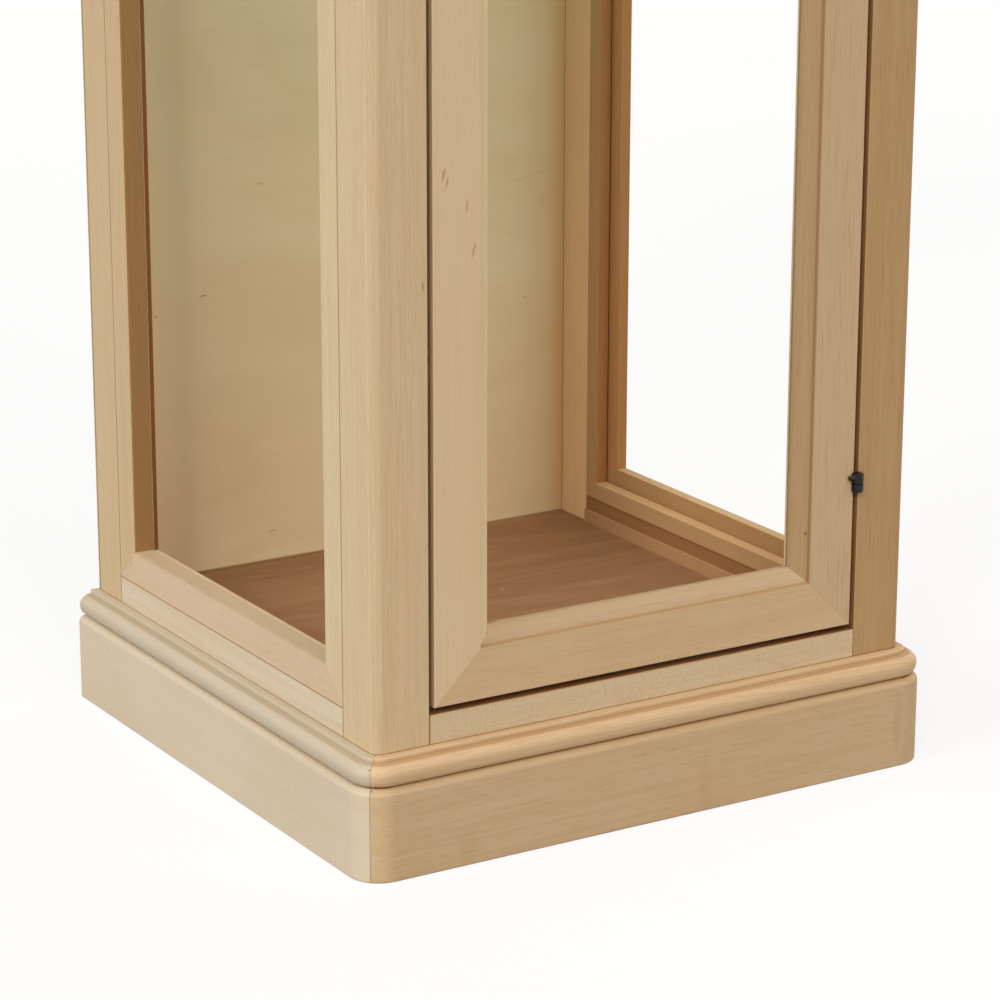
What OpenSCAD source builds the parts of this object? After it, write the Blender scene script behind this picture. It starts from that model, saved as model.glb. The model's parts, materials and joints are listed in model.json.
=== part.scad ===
// Tall display cabinet: four posts on a moulded base, glazed sides and a glazed front door.
// Millimetres. The origin is on the floor at the centre of the plan. The door faces -Y.

/* [Body] */
// Width over the posts
body_w = 465; // [430:5:520]
// Depth over the posts
body_d = 455; // [420:5:510]
// Height from the floor to the top of the cornice
total_h = 1800; // [1650:10:2000]
// Width of a front post, square in plan
post_w = 45; // [42:1:52]
// Depth of a back post
back_post_d = 45; // [40:1:52]
// Radius of the outer arris of a front post
post_round = 8; // [3:0.5:10]
// Radius of the outer arris of a back post
back_round = 4; // [2:0.5:5]
// Thickness of a side wall, over frame, pane and bead
wall_t = 23.5; // [22:0.5:27]
// Radius that the free arrises are eased to
ease = 0.8; // [0.3:0.1:1]
// Radius at the arrises along a glued seam
seam_ease = 0.4; // [0.2:0.1:0.6]
// How far each end of a mitred bar stands back from the line of its mitre
mitre_gap = 0.05; // [0.02:0.01:0.1]

/* [Base and cornice] */
// How far the base stands out from the posts, at the front and the sides
base_over = 17.5; // [15:0.5:22]
// Thickness of the back boards of the base and the cornice, flush with the posts
back_board_t = 15; // [15:1:22]
// How far the base and the cornice reach in under and over the posts
seat_w = 7.5; // [5:0.5:9]
// Height of the plinth boards
plinth_h = 70; // [55:1:100]
// Radius of the top arris of the plinth
plinth_round = 5.5; // [3:0.5:7]
// Radius of the bottom arris of the plinth
plinth_ease = 1.8; // [0.5:0.1:3]
// Height of the moulding on the plinth
moulding_h = 20.5; // [18:0.5:26]
// How far the small fillet above the round stands out
fillet_over = 6.5; // [5:0.5:9]
// Height of the small fillet, with its eased top
fillet_h = 3.2; // [2.5:0.1:4]
// Height of the round above its nose
nose_up = 8; // [6:0.5:9]
// How far the nose of the round stands back from the face of the base
nose_back = 1.1; // [0.2:0.1:2]
// Height of the quirk between the round and the board beside it
quirk_h = 1.2; // [0.8:0.1:2.4]
// How far the quirk stands back from the face of the base
quirk_back = 5.5; // [3:0.5:7]
// How far the cornice stands out from the posts
cornice_over = 30; // [27:1:40]
// Height of the cornice
cornice_h = 58; // [54:1:80]
// Radius of the cove in the cornice
cove_r = 11; // [8:1:12]

/* [Panels and rails] */
// Thickness of the floor panel and of the ceiling panel
panel_t = 15; // [12:1:20]
// Thickness of the board that closes the top
top_board_t = 12; // [9:1:15]
// Width of the rebate that carries the top board
top_rebate = 10; // [8:1:14]
// Thickness of the plywood back
back_t = 5; // [4:0.5:7]
// Width of the rebate in a back post that takes the plywood
back_rebate = 12; // [9:1:14]
// Height of the bottom rails
rail_h = 22.5; // [20:0.5:30]
// Height of the top rails
top_rail_h = 45; // [35:1:60]
// Thickness of the top back rail
back_rail_t = 18; // [15:1:22]
// Side of the cleats that carry the floor panel
cleat = 20; // [15:1:22]
// Leg of the glue blocks in the corners of the plinth
block_leg = 42; // [30:1:45]
// Height of the thin strip along the foot of a side rail
strip_h = 11.5; // [9:0.5:14]
// Thickness of that strip
strip_t = 2; // [1.5:0.1:3]
// Clearance round the panels
panel_gap = 0.3; // [0.1:0.1:0.5]

/* [Glazed sides] */
// Face width of the left frame
left_frame_w = 26.3; // [24:0.1:32]
// Face width of the right frame
right_frame_w = 29.3; // [24:0.1:32]
// Thickness of the left frame in front of its pane
left_lip_t = 16.7; // [15:0.1:17]
// Thickness of the right frame in front of its pane
right_lip_t = 10; // [8:0.5:12]
// Width of the beads that hold the left pane
left_bead_w = 25.2; // [18:0.1:26]
// Width of the beads that hold the right pane
right_bead_w = 15; // [10:0.5:17]
// Radius at the sight edge of a side frame
sight_ease = 1.7; // [0.8:0.1:2.5]
// Thickness of the panes
pane_t = 3; // [2:0.5:4]
// Clearance round a pane in its rebate
pane_gap = 1.5; // [0.5:0.5:3]

/* [Door] */
// Gap between the door and its opening
door_gap = 4.4; // [3.8:0.1:5]
// Thickness of the door
door_t = 22; // [21:0.5:24]
// Width of the flat face of a door member
door_flat = 38.2; // [36:0.1:44]
// Width of the moulded edge inside the flat face
ovolo_w = 12.3; // [10:0.1:14]
// Depth of the moulded edge
ovolo_d = 12.3; // [10.5:0.1:13]
// Depth of the small step where the moulded edge starts
ovolo_step = 3; // [2:0.1:4]
// Rise of the moulded edge over its chord
ovolo_rise = 1.7; // [1:0.1:2.5]
// Wood left at the sight edge in front of the door's pane
sight_t = 1.7; // [1:0.1:2.5]
// Width of the rebate that takes the door's pane
door_rebate = 10; // [8:0.5:12]

/* [Hinges] */
// Radius of a hinge barrel
barrel_r = 4.3; // [4:0.1:5]
// Height of the lower barrel, fixed to the post
lower_h = 6.3; // [5:0.1:8]
// Height of the upper barrel, fixed to the door
upper_h = 7.7; // [7:0.1:11]
// Gap between the two barrels
barrel_gap = 0.3; // [0.1:0.1:0.5]
// How far the hinge axis stands in front of the door's face
axis_out = 2.2; // [2:0.1:3]
// Distance from a door end to the middle of the nearest hinge
hinge_in = 112.7; // [80:1:200]
// Radius of a hinge pin
pin_r = 1.5; // [1.2:0.1:1.8]
// Running clearance of the pin in the upper barrel, on the radius
pin_run = 0.06; // [0.03:0.01:0.09]
// Clearance of the pin in the lower barrel, on the radius
pin_seat = 0.02; // [0.01:0.01:0.05]
// Radius of the threaded shanks
shank_r = 2; // [1.6:0.1:2.4]
// Distance from the hinge axis to the tip of a shank
shank_l = 26; // [20:1:28]
// Clearance round a shank in its hole
shank_gap = 0.1; // [0.05:0.05:0.2]
// Radius of the set screw in the upper barrel
nub_r = 1.8; // [1.4:0.1:2]
// Distance from the hinge axis to the end of the set screw
nub_l = 7.7; // [6:0.1:9]

/* [Shelves] */
// Thickness of a glass shelf
shelf_t = 6; // [5:1:10]
// Distance from the floor panel to the first shelf, and from there to the second
shelf_rise = 560; // [400:10:600]
// Clearance round a shelf
shelf_gap = 2; // [1:0.5:4]
// Radius of a shelf pin
peg_r = 2.5; // [2:0.1:3]
// Length of a shelf pin outside its hole
peg_out = 10; // [8:0.5:13]
// Depth of a shelf pin in its hole
peg_in = 12; // [8:1:15]
// Clearance round a shelf pin in its hole
peg_gap = 0.05; // [0.02:0.01:0.1]

/* [Knob and catch] */
// Radius of the knob's head
knob_r = 9.5; // [8:0.5:13]
// How far the knob stands out from the door
knob_out = 22; // [19:1:26]
// Radius of the knob's screw
screw_r = 2; // [1.6:0.1:2.4]
// Clearance round the screws
screw_gap = 0.1; // [0.05:0.05:0.2]
// Height of the magnetic catch
catch_h = 46; // [36:1:60]
// Width of the catch, out from the post
catch_w = 12; // [11:0.5:15]
// Depth of the catch
catch_d = 14; // [12:0.5:18]
// Thickness of the strike plate on the door
strike_t = 1.2; // [0.8:0.1:1.6]
// Gap between the strike plate and the catch when the door is shut
catch_gap = 0.3; // [0.2:0.05:0.5]
// Radius of the screws that hold the plywood back
back_screw_r = 1.5; // [1.2:0.1:2]
// Length of those screws under the head
back_screw_l = 17; // [12:1:20]

/* [Hidden] */
$fn = 48;

beech = "#d6bd95";
beech_end = "#cbb088";
walnut = "#93694c";
birch = "#dcc8a2";
glass = [0.82, 0.9, 0.9, 0.3];
black_iron = "#222222";
steel = "#b9b9b5";

// Levels above the floor
post_z = plinth_h + moulding_h;
post_top = total_h - cornice_h;
post_h = post_top - post_z;
opening_z = post_z + rail_h;
opening_h = post_h - rail_h - top_rail_h;

// Plan
left_x = -body_w / 2;
front_y = (cornice_over - body_d) / 2;
rear_y = front_y + body_d;
inner_x = body_w / 2 - wall_t;
post_inner_x = body_w / 2 - post_w;
back_y = rear_y - back_t;
back_post_y = rear_y - back_post_d;
side_span = body_d - post_w - back_post_d;
core_w = body_w - 2 * seat_w;
core_front = front_y + seat_w;
core_back = rear_y - back_board_t;
core_d = core_back - core_front;
quirk_x = base_over + seat_w - quirk_back;

// Door
door_w = body_w - 2 * post_w - 2 * door_gap;
door_h = opening_h - 2 * door_gap;
door_z = opening_z + door_gap;
door_right_x = post_inner_x - door_gap;
member_w = door_flat + ovolo_w;
pane_w0 = ovolo_d + sight_t;
bead_k0 = member_w - door_rebate;

// Hinges, counted from the lowest
hinge_h = lower_h + barrel_gap + upper_h;
upper_z = lower_h + barrel_gap;
hinge_x = post_inner_x - door_gap / 2;
hinge_y = front_y - axis_out;
hinge_mid = [door_z + hinge_in, door_z + door_h / 2, door_z + door_h - hinge_in];
scallop_gap = 0.4;
post_turn = 45;
door_turn = 135;
shank_root = (barrel_r + pin_r) / 2;
wall_end = 1;

// Shelves
shelf_z = [post_z + shelf_rise, post_z + 2 * shelf_rise];
shelf_w = 2 * (inner_x - shelf_gap);
shelf_front = front_y + post_w + shelf_gap;
shelf_d = back_y - shelf_gap - shelf_front;
peg_x = (post_inner_x + inner_x) / 2;
peg_y = rear_y - back_post_d / 2;

// Knob and catch
knob_z = door_z + door_h / 2;
knob_x = -door_right_x + door_flat / 2;
knob_screw_in = 10;
catch_y = front_y + door_t + strike_t + catch_gap;
catch_screw_z = [-catch_h / 4, catch_h / 4];
strike_w = catch_w - 2;
strike_h = catch_h - 6;
catch_hole_r = 1.5;
catch_screw_l = 14;
screw_head_r = 3.2;
screw_head_h = 1.8;
spike_r = 1;
spike_l = 4;
screw_rows = 5;

// A point to a millionth of a millimetre, so that points which should meet are the same
function settled(p) = [for (v = p) round(v * 1e6) / 1e6];

// Points on an arc about c, with radii rx and ry, from angle a0 to a1, from the one numbered first
function arc_points(c, rx, ry, a0, a1, n = 10, first = 0) =
    [for (i = [first:n])
        let (a = a0 + (a1 - a0) * i / n)
        settled([c[0] + rx * cos(a), c[1] + ry * sin(a)])];

// Points on the arc from p to q that bulges by rise to the right of that line
function bulge_points(p, q, rise, n = 12) =
    let (
        chord = norm(q - p),
        r = (chord * chord / 4 + rise * rise) / (2 * rise),
        along = (q - p) / chord,
        left = [-along[1], along[0]],
        c = (p + q) / 2 + left * (r - rise),
        half = asin(chord / (2 * r))
    )
    [for (i = [0:n])
        let (t = half * (2 * i / n - 1))
        settled(c - left * r * cos(t) + along * r * sin(t))];

function unit(v) = v / norm(v);

// The corner at p between a and b, rounded to radius r
function corner_points(a, p, b, r, n) =
    let (
        u = unit(a - p),
        v = unit(b - p),
        half = acos(u * v) / 2,
        c = p + unit(u + v) * r / sin(half),
        s = unit(p + u * r / tan(half) - c),
        e = unit(p + v * r / tan(half) - c),
        sweep = acos(s * e)
    )
    [for (i = [0:n])
        settled(c + r * (s * sin(sweep * (1 - i / n)) + e * sin(sweep * i / n)) / sin(sweep))];

function xy(p) = [p[0], p[1]];

// An outline from corners [x, y, radius]
function eased(corners, n = 4) =
    [for (i = [0:len(corners) - 1])
        let (
            count = len(corners),
            before = xy(corners[(i + count - 1) % count]),
            after = xy(corners[(i + 1) % count]),
            r = corners[i][2]
        )
        each (r > 0 ? corner_points(before, xy(corners[i]), after, r, n) : [xy(corners[i])])];

// Outlines of the ring pieces: x is measured out from seat_w inside the post faces

function plinth_outline() =
    let (r = base_over + seat_w)
    eased([[0, 0, 0], [r, 0, plinth_ease], [r, plinth_h, plinth_round], [0, plinth_h, 0]], 8);

// The round of the base moulding, from the top of the quirk to the top of the fillet
function round_points() =
    let (
        nose = base_over + seat_w - nose_back,
        fillet = fillet_over + seat_w,
        nose_z = moulding_h - fillet_h - nose_up,
        top_r = 1.2
    )
    concat(
        arc_points([quirk_x, nose_z], nose - quirk_x, nose_z - quirk_h, -90, 0, 8),
        arc_points([fillet, nose_z], nose - fillet, nose_up, 0, 90, 14, 1),
        arc_points([fillet - top_r, moulding_h - top_r], top_r, top_r, 0, 90, 4)
    );

function moulding_outline() = concat([[0, 0], [quirk_x, 0]], round_points(), [[0, moulding_h]]);

function mirrored(points, h) =
    [for (i = [len(points) - 1:-1:0]) settled([points[i][0], h - points[i][1]])];

// The cornice repeats the round of the base upside down, below a cove and a plain band
function cornice_outline() =
    let (
        r = cornice_over + seat_w,
        cove = [quirk_x + cove_r, moulding_h]
    )
    concat(
        [[0, 0]],
        mirrored(round_points(), moulding_h),
        arc_points(cove, cove_r, cove_r, 180, 90, 10),
        arc_points([r - ease, moulding_h + cove_r + ease], ease, ease, -90, 0, 3),
        arc_points([r - plinth_round, cornice_h - plinth_round], plinth_round, plinth_round, 0, 90, 8),
        [[0, cornice_h]]
    );

// A front member of the base or the cornice, with its halves of the two round corners
module ring_front(outline) {
    translate([0, core_front, 0]) {
        rotate([90, 0, -90]) linear_extrude(core_w, center = true) polygon(outline);
        for (s = [0, 1]) mirror([s, 0, 0])
            translate([core_w / 2, 0, 0]) rotate([0, 0, -90]) rotate_extrude(angle = 45) polygon(outline);
    }
}

// A side member, drawn on the right: mitred at the front corner and cut square at the back
module ring_side(outline) {
    long = rear_y - core_front;
    translate([core_w / 2, core_front, 0]) {
        translate([0, long, 0]) rotate([90, 0, 0]) linear_extrude(long) polygon(outline);
        mirror([0, 1, 0]) rotate_extrude(angle = 45) polygon(outline);
    }
}

// A back board stands between the side members, flush with the back of the posts
module ring_back(z, h) {
    translate([-core_w / 2, core_back, z]) cube([core_w, back_board_t, h]);
}

module plinth_front() {
    color(beech) ring_front(plinth_outline());
}

module plinth_right() {
    color(beech) ring_side(plinth_outline());
}

module plinth_left() {
    color(beech) mirror([1, 0, 0]) ring_side(plinth_outline());
}

module plinth_back() {
    color(beech) ring_back(0, post_z - panel_t);
}

module moulding_front() {
    color(beech) translate([0, 0, plinth_h]) ring_front(moulding_outline());
}

module moulding_right() {
    color(beech) translate([0, 0, plinth_h]) ring_side(moulding_outline());
}

module moulding_left() {
    color(beech) translate([0, 0, plinth_h]) mirror([1, 0, 0]) ring_side(moulding_outline());
}

module cornice_front() {
    color(beech) difference() {
        translate([0, 0, post_top]) ring_front(cornice_outline());
        top_recess();
    }
}

module cornice_right() {
    color(beech) difference() {
        translate([0, 0, post_top]) ring_side(cornice_outline());
        top_recess();
    }
}

module cornice_left() {
    color(beech) difference() {
        translate([0, 0, post_top]) mirror([1, 0, 0]) ring_side(cornice_outline());
        top_recess();
    }
}

module cornice_back() {
    color(beech) difference() {
        ring_back(post_top, cornice_h);
        top_recess();
    }
}

// A three-sided glue block stands in each corner of the plinth
module corner_blocks() {
    clear = 2;
    block_h = post_z - panel_t - cleat - 2 * clear;
    color(beech_end)
        for (sx = [0, 1]) mirror([sx, 0, 0])
            for (s = [0, 1])
                translate([-core_w / 2, s == 0 ? core_front : core_back, clear]) mirror([0, s, 0])
                    linear_extrude(block_h) polygon([[0, 0], [block_leg, 0], [0, block_leg]]);
}

// Cleats run round the inside of the plinth, the side ones between the other two
module floor_cleats() {
    z = post_z - panel_t - cleat;
    color(beech_end) {
        for (y = [core_front, core_back - cleat])
            translate([-core_w / 2, y, z]) cube([core_w, cleat, cleat]);
        for (s = [0, 1]) mirror([s, 0, 0])
            translate([-core_w / 2, core_front + cleat + panel_gap, z])
                cube([cleat, core_d - 2 * cleat - 2 * panel_gap, cleat]);
    }
}

// A panel inside the base or the cornice, from the front member to the given end
module flat_panel(z, end_y) {
    w = core_w - 2 * panel_gap;
    start_y = core_front + panel_gap;
    translate([-w / 2, start_y, z]) cube([w, end_y - start_y, panel_t]);
}

// The floor panel lies on the back board too, under the plywood
module floor_panel() {
    color(walnut) flat_panel(post_z - panel_t, rear_y);
}

module ceiling_panel() {
    color(birch) flat_panel(post_top, core_back - panel_gap);
}

// The plan of the top board, reaching r past the inside of the cornice, round at its front corners
module top_outline(r) {
    translate([0, core_front]) {
        translate([-core_w / 2, -r]) square([core_w, core_d + 2 * r]);
        translate([-core_w / 2 - r, 0]) square([core_w + 2 * r, core_d + r]);
        for (x = [-core_w / 2, core_w / 2]) translate([x, 0]) circle(r);
    }
}

module top_recess() {
    translate([0, 0, total_h - top_board_t]) linear_extrude(top_board_t + wall_end) top_outline(top_rebate);
}

module top_board() {
    color(beech) translate([0, 0, total_h - top_board_t])
        linear_extrude(top_board_t) top_outline(top_rebate - panel_gap);
}

// Posts are drawn from the body's outer corner, X inwards and Y to the back

module front_post() {
    corners = [[0, 0, post_round], [post_w, 0, ease], [post_w, post_w, ease], [0, post_w, seam_ease]];
    translate([left_x, front_y, post_z]) linear_extrude(post_h) polygon(eased(corners));
}

module back_post() {
    d = back_post_d;
    r = back_rebate;
    corners = [
        [0, 0, seam_ease], [wall_t, 0, ease], [wall_t, d - back_t, 0],
        [wall_t - r, d - back_t, 0], [wall_t - r, d, seam_ease], [0, d, back_round]
    ];
    translate([left_x, back_post_y, post_z]) linear_extrude(post_h) polygon(eased(corners));
}

// Shelf pins at one front post and one back post, drawn on the left
module peg_set(r, depth, out) {
    for (z = shelf_z) {
        translate([-peg_x, front_y + post_w - depth, z - r]) rotate([-90, 0, 0])
            cylinder(r = r, h = depth + out);
        translate([left_x + wall_t - depth, peg_y, z - r]) rotate([0, 90, 0])
            cylinder(r = r, h = depth + out);
    }
}

module peg_holes() {
    for (z = shelf_z) {
        translate([-peg_x, front_y + post_w - peg_in - wall_end, z - peg_r]) rotate([-90, 0, 0])
            cylinder(r = peg_r + peg_gap, h = peg_in + 2 * wall_end);
        translate([left_x + wall_t - peg_in - wall_end, peg_y, z - peg_r]) rotate([0, 90, 0])
            cylinder(r = peg_r + peg_gap, h = peg_in + 2 * wall_end);
    }
}

module shelf_pins() {
    color(steel) for (s = [0, 1]) mirror([s, 0, 0]) peg_set(peg_r, peg_in, peg_out);
}

module shelf(i) {
    color(glass) translate([-shelf_w / 2, shelf_front, shelf_z[i]]) cube([shelf_w, shelf_d, shelf_t]);
}

module at_hinges() {
    for (z = hinge_mid) translate([hinge_x, hinge_y, z - hinge_h / 2]) children();
}

// A hinge shank runs level from the axis into the wood, turned from the X axis
module shank(turn, z, r, from, to) {
    translate([0, 0, z]) rotate([0, 0, turn]) rotate([0, 90, 0])
        translate([0, 0, from]) cylinder(r = r, h = to - from);
}

module scallops() {
    at_hinges() translate([0, 0, -scallop_gap])
        cylinder(r = barrel_r + scallop_gap, h = hinge_h + 2 * scallop_gap);
}

module post_front_left() {
    color(beech) difference() {
        front_post();
        peg_holes();
        catch_holes();
    }
}

module post_front_right() {
    color(beech) difference() {
        mirror([1, 0, 0]) front_post();
        mirror([1, 0, 0]) peg_holes();
        scallops();
        at_hinges() shank(post_turn, lower_h / 2, shank_r + shank_gap, 0, shank_l + wall_end);
    }
}

module post_back_left() {
    color(beech) difference() {
        back_post();
        peg_holes();
        back_screw_holes();
    }
}

module post_back_right() {
    color(beech) difference() {
        mirror([1, 0, 0]) back_post();
        mirror([1, 0, 0]) peg_holes();
        back_screw_holes();
    }
}

// Rails between the posts, with eased outer arrises

module front_rail(z, h) {
    w = 2 * post_inner_x;
    corners = [[0, 0, seam_ease], [wall_t, 0, 0], [wall_t, h, ease], [0, h, ease]];
    translate([-w / 2, front_y, z]) rotate([90, 0, 90]) linear_extrude(w) polygon(eased(corners));
}

module side_rail(z, h, low_ease, high_ease) {
    corners = [[0, 0, low_ease], [0, h, high_ease], [wall_t, h, 0], [wall_t, 0, 0]];
    translate([left_x, back_post_y, z]) rotate([90, 0, 0])
        linear_extrude(side_span) polygon(eased(corners));
}

module bottom_rail_front() {
    color(beech) front_rail(post_z, rail_h);
}

module top_rail_front() {
    color(beech) front_rail(post_top - top_rail_h, top_rail_h);
}

module bottom_rail_left() {
    color(beech) side_rail(post_z, rail_h, seam_ease, seam_ease);
}

module bottom_rail_right() {
    color(beech) mirror([1, 0, 0]) side_rail(post_z, rail_h, seam_ease, seam_ease);
}

module top_rail_left() {
    color(beech) side_rail(post_top - top_rail_h, top_rail_h, seam_ease, seam_ease);
}

module top_rail_right() {
    color(beech) mirror([1, 0, 0]) side_rail(post_top - top_rail_h, top_rail_h, seam_ease, seam_ease);
}

module top_rail_back() {
    color(beech) difference() {
        translate([-inner_x, back_y - back_rail_t, post_top - top_rail_h])
            cube([2 * inner_x, back_rail_t, top_rail_h]);
        back_screw_holes();
    }
}

// Thin strips hide the joint of the side rails with the floor panel
module side_strips() {
    corners = [[0, 0, 0], [strip_t, 0, 0], [strip_t, strip_h, ease], [0, strip_h, 0]];
    color(beech) for (s = [0, 1]) mirror([s, 0, 0])
        translate([-inner_x, back_post_y, post_z]) rotate([90, 0, 0])
            linear_extrude(side_span) polygon(eased(corners));
}

// The plywood back stands in the rebates of the back posts
module back_panel() {
    w = 2 * (inner_x + back_rebate - panel_gap);
    color(birch) difference() {
        translate([-w / 2, back_y, post_z]) cube([w, back_t, post_h]);
        back_screw_holes();
    }
}

// Back screws: a row up each post and three along the top back rail
module at_back_screws() {
    edge_x = inner_x + back_rebate / 2;
    top_z = post_top - top_rail_h / 2;
    step = (top_z - post_z - rail_h) / (screw_rows - 1);
    for (i = [0:screw_rows - 1])
        for (x = [-edge_x, edge_x])
            translate([x, rear_y, post_z + rail_h + i * step]) children();
    for (x = [-inner_x / 2, 0, inner_x / 2])
        translate([x, rear_y, top_z]) children();
}

// The back screws are countersunk flush with the plywood
module back_screw_holes() {
    sunk = screw_head_r - back_screw_r;
    at_back_screws() rotate([90, 0, 0]) rotate_extrude()
        polygon([
            [0, -wall_end], [screw_head_r + screw_gap, -wall_end], [screw_head_r + screw_gap, 0],
            [back_screw_r + screw_gap, sunk], [back_screw_r + screw_gap, back_screw_l + wall_end],
            [0, back_screw_l + wall_end]
        ]);
}

module back_screws() {
    color(steel) at_back_screws() rotate([90, 0, 0]) rotate_extrude()
        polygon([[0, 0], [screw_head_r, 0], [back_screw_r, screw_head_r - back_screw_r],
            [back_screw_r, back_screw_l], [0, back_screw_l]]);
}

// Mitred frames lie in a local frame: X along, Y up, Z inwards from the outer face.
// A bar's outline gives its width from the frame's edge and its depth.

module mitred_bar(long, w, depth, outline) {
    intersection() {
        rotate([90, 0, 90]) linear_extrude(long) polygon(outline);
        linear_extrude(depth)
            polygon([[mitre_gap, 0], [long - mitre_gap, 0], [long - w - mitre_gap, w], [w + mitre_gap, w]]);
    }
}

// Sides count from the bottom: 0 bottom, 1 far end, 2 top, 3 near end
module frame_side(side, w, h, bar_w, depth, outline) {
    corner = [[0, 0, 0], [w, 0, 0], [w, h, 0], [0, h, 0]];
    translate(corner[side]) rotate([0, 0, 90 * side])
        mitred_bar(side % 2 == 0 ? w : h, bar_w, depth, outline);
}

module on_left() {
    translate([left_x, front_y + post_w, opening_z]) rotate([90, 0, 90]) children();
}

module on_right() {
    translate([body_w / 2, back_post_y, opening_z]) rotate([90, 0, -90]) children();
}

module on_door() {
    translate([door_right_x, front_y, door_z]) rotate([90, 0, 180]) children();
}

module lip_bar(side, w, lip_t) {
    corners = [[0, 0, seam_ease], [w, 0, sight_ease], [w, lip_t, ease], [0, lip_t, 0]];
    frame_side(side, side_span, opening_h, w, lip_t, eased(corners));
}

module left_frame(side) {
    color(beech) on_left() lip_bar(side, left_frame_w, left_lip_t);
}

module right_frame(side) {
    color(beech) on_right() lip_bar(side, right_frame_w, right_lip_t);
}

module side_pane(lip_t) {
    translate([pane_gap, pane_gap, lip_t])
        cube([side_span - 2 * pane_gap, opening_h - 2 * pane_gap, pane_t]);
}

module left_pane() {
    color(glass) on_left() side_pane(left_lip_t);
}

module right_pane() {
    color(glass) on_right() side_pane(right_lip_t);
}

module side_bead_set(bead_w, lip_t) {
    bead_t = wall_t - lip_t - pane_t;
    free = min(ease, bead_t / 2);
    glued = min(seam_ease, bead_t / 2);
    corners = [[0, 0, 0], [bead_w, 0, 0], [bead_w, bead_t, free], [0, bead_t, glued]];
    for (side = [0:3])
        translate([0, 0, lip_t + pane_t])
            frame_side(side, side_span, opening_h, bead_w, bead_t, eased(corners));
}

module left_beads() {
    color(beech) on_left() side_bead_set(left_bead_w, left_lip_t);
}

module right_beads() {
    color(beech) on_right() side_bead_set(right_bead_w, right_lip_t);
}

// A door member: flat face, small step, moulded edge, and a rebate behind for the pane
function member_outline() =
    let (
        step_w = 1.6,
        lead = 0.2,
        quirk = [door_flat + step_w, ovolo_step],
        sight = [member_w, ovolo_d]
    )
    concat(
        arc_points([ease, ease], ease, ease, 180, 270, 4),
        [[door_flat, 0]],
        arc_points([door_flat + step_w, lead], step_w, ovolo_step - lead, 180, 90, 4),
        bulge_points(quirk, sight, ovolo_rise),
        [[member_w, pane_w0], [bead_k0, pane_w0], [bead_k0, door_t]],
        arc_points([ease, door_t - ease], ease, ease, 90, 180, 4)
    );

module door_member(side) {
    frame_side(side, door_w, door_h, member_w, door_t, member_outline());
}

module door_rail_bottom() {
    color(beech) on_door() door_member(0);
}

module door_rail_top() {
    color(beech) on_door() door_member(2);
}

module door_stile_left() {
    color(beech) difference() {
        on_door() door_member(1);
        knob_hole();
        strike_holes();
    }
}

module door_stile_right() {
    color(beech) difference() {
        on_door() door_member(3);
        scallops();
        at_hinges()
            shank(door_turn, upper_z + upper_h / 2, shank_r + shank_gap, 0, shank_l + wall_end);
    }
}

module door_pane() {
    k = bead_k0 + pane_gap / 2;
    color(glass) on_door() translate([k, k, pane_w0]) cube([door_w - 2 * k, door_h - 2 * k, pane_t]);
}

module door_beads() {
    t = door_t - pane_w0 - pane_t;
    w = door_w - 2 * bead_k0;
    h = door_h - 2 * bead_k0;
    outline = concat([[0, 0], [door_rebate, 0]],
        arc_points([door_rebate - t, 0], t, t, 0, 90, 8), [[0, t]]);
    color(beech) on_door() translate([bead_k0, bead_k0, pane_w0 + pane_t])
        for (side = [0:3]) frame_side(side, w, h, door_rebate, t, outline);
}

// A barrel with chamfered ends, bored from one end to leave wall_end at the other
module barrel(h, bore_r, bore_z) {
    chamfer = 0.5;
    difference() {
        rotate_extrude() polygon([
            [0, 0], [barrel_r - chamfer, 0], [barrel_r, chamfer],
            [barrel_r, h - chamfer], [barrel_r - chamfer, h], [0, h]
        ]);
        translate([0, 0, bore_z]) cylinder(r = bore_r, h = h);
    }
}

// The upper halves turn with the door, on pins that stand in the lower halves
module hinge_door_halves() {
    nub_z = upper_h * 0.6;
    color(black_iron) at_hinges() translate([0, 0, upper_z]) {
        barrel(upper_h, pin_r + pin_run, -wall_end);
        shank(door_turn, upper_h / 2, shank_r, shank_root, shank_l);
        translate([-shank_root, 0, nub_z]) rotate([0, -90, 0])
            cylinder(r = nub_r, h = nub_l - shank_root);
    }
}

module hinge_post_halves() {
    color(black_iron) at_hinges() {
        barrel(lower_h, pin_r + pin_seat, wall_end);
        shank(post_turn, lower_h / 2, shank_r, shank_root, shank_l);
    }
}

module hinge_pins() {
    top = upper_z + upper_h - 2 * wall_end;
    color(steel) at_hinges() translate([0, 0, wall_end]) cylinder(r = pin_r, h = top - wall_end);
}

// The knob is turned: a rose, a neck and a domed head, on the line of its screw
module knob() {
    rose_r = knob_r - 1.5;
    rose_t = 2.5;
    neck_r = 3.8;
    head_z = knob_out * 0.45;
    head_h = knob_out - head_z;
    outline = concat(
        [[0, 0], [rose_r, 0]],
        arc_points([rose_r - rose_t * 0.6, rose_t * 0.4], rose_t * 0.6, rose_t * 0.6, 0, 90, 6),
        arc_points([neck_r + 2, rose_t + 2], 2, 2, 270, 180, 6),
        arc_points([neck_r, head_z], knob_r - neck_r, head_h * 0.45, 270, 360, 8),
        arc_points([0, head_z + head_h * 0.45], knob_r, head_h * 0.55, 0, 90, 12)
    );
    color(black_iron) translate([knob_x, front_y, knob_z]) rotate([90, 0, 0]) difference() {
        rotate_extrude() polygon(outline);
        translate([0, 0, -wall_end]) cylinder(r = screw_r + screw_gap, h = knob_screw_in + 2 * wall_end);
    }
}

module knob_hole() {
    translate([knob_x, front_y - wall_end, knob_z]) rotate([-90, 0, 0])
        cylinder(r = screw_r + screw_gap, h = door_t + 2 * wall_end);
}

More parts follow.
